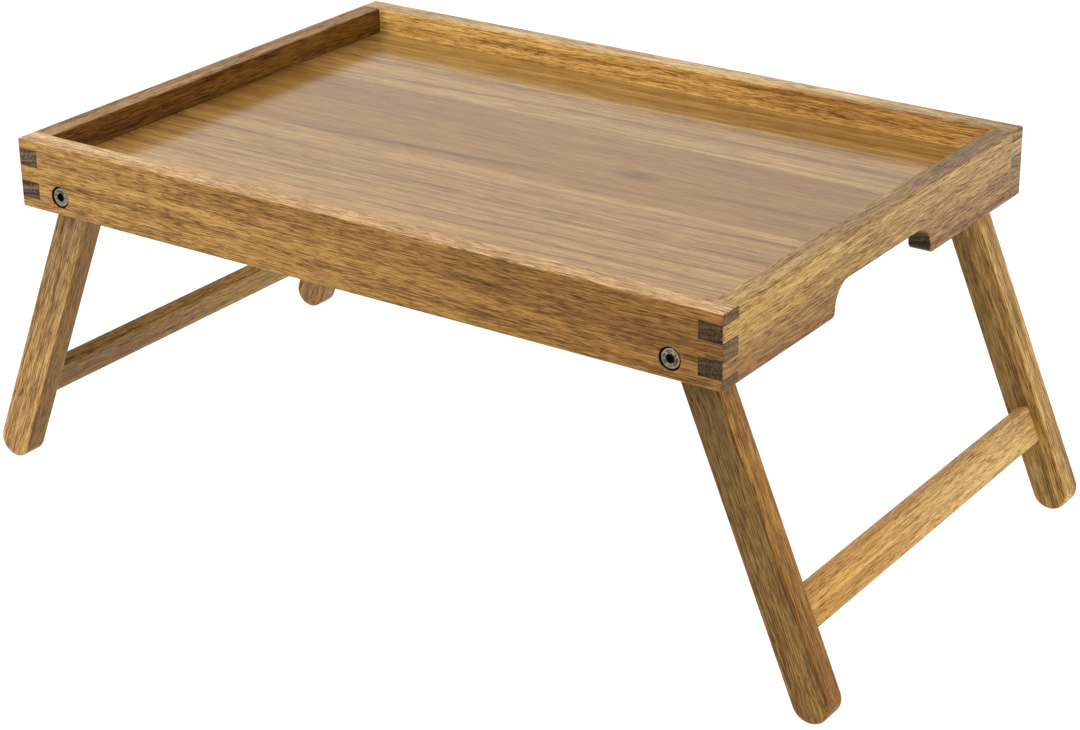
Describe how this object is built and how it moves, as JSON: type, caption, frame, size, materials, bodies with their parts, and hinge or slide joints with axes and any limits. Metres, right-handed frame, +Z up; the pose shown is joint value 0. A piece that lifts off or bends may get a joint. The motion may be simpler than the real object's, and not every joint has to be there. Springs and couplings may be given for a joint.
{
  "type": "folding tray table",
  "caption": "Rimmed wooden bed tray table with box-jointed corners, handle cut-outs and splayed leg frames that fold flat under the tray.",
  "frame": {"origin": "on the floor under the middle of the tray, with the legs open", "axes": "+X along the tray to its right end, +Y from the front rail to the back rail, +Z up"},
  "size_m": [0.617, 0.35, 0.2336],
  "materials": {
    "rail_wood": "satin lacquered acacia",
    "floor_wood": "semi-gloss lacquered acacia",
    "leg_wood": "satin lacquered acacia",
    "stretcher_wood": "satin lacquered acacia",
    "dowel_wood": "plain beech",
    "bolt_steel": "nickel-plated steel",
    "washer_plastic": "natural nylon"
  },
  "bodies": {
    "tray": {"front_rail": "rail_wood", "back_rail": "rail_wood", "left_rail": "rail_wood", "right_rail": "rail_wood", "floor_board_1": "floor_wood", "floor_board_2": "floor_wood", "floor_board_3": "floor_wood", "floor_board_4": "floor_wood", "pivot_bolts": "bolt_steel", "sleeve_nuts": "bolt_steel", "outer_washers": "washer_plastic", "inner_washers": "washer_plastic"},
    "right_leg_frame": {"front_right_leg": "leg_wood", "back_right_leg": "leg_wood", "right_stretcher": "stretcher_wood", "right_stretcher_dowels": "dowel_wood"},
    "left_leg_frame": {"front_left_leg": "leg_wood", "back_left_leg": "leg_wood", "left_stretcher": "stretcher_wood", "left_stretcher_dowels": "dowel_wood"}
  },
  "joints": [
    {"name": "right_leg_fold", "type": "hinge", "parent": "tray", "child": "right_leg_frame", "pos_m": [0.2178, 0, 0.20134], "axis": [0, 1, 0], "range_deg": [0, 112.65]},
    {"name": "left_leg_fold", "type": "hinge", "parent": "tray", "child": "left_leg_frame", "pos_m": [-0.2178, 0, 0.20134], "axis": [0, -1, 0], "range_deg": [0, 112.65]}
  ]
}
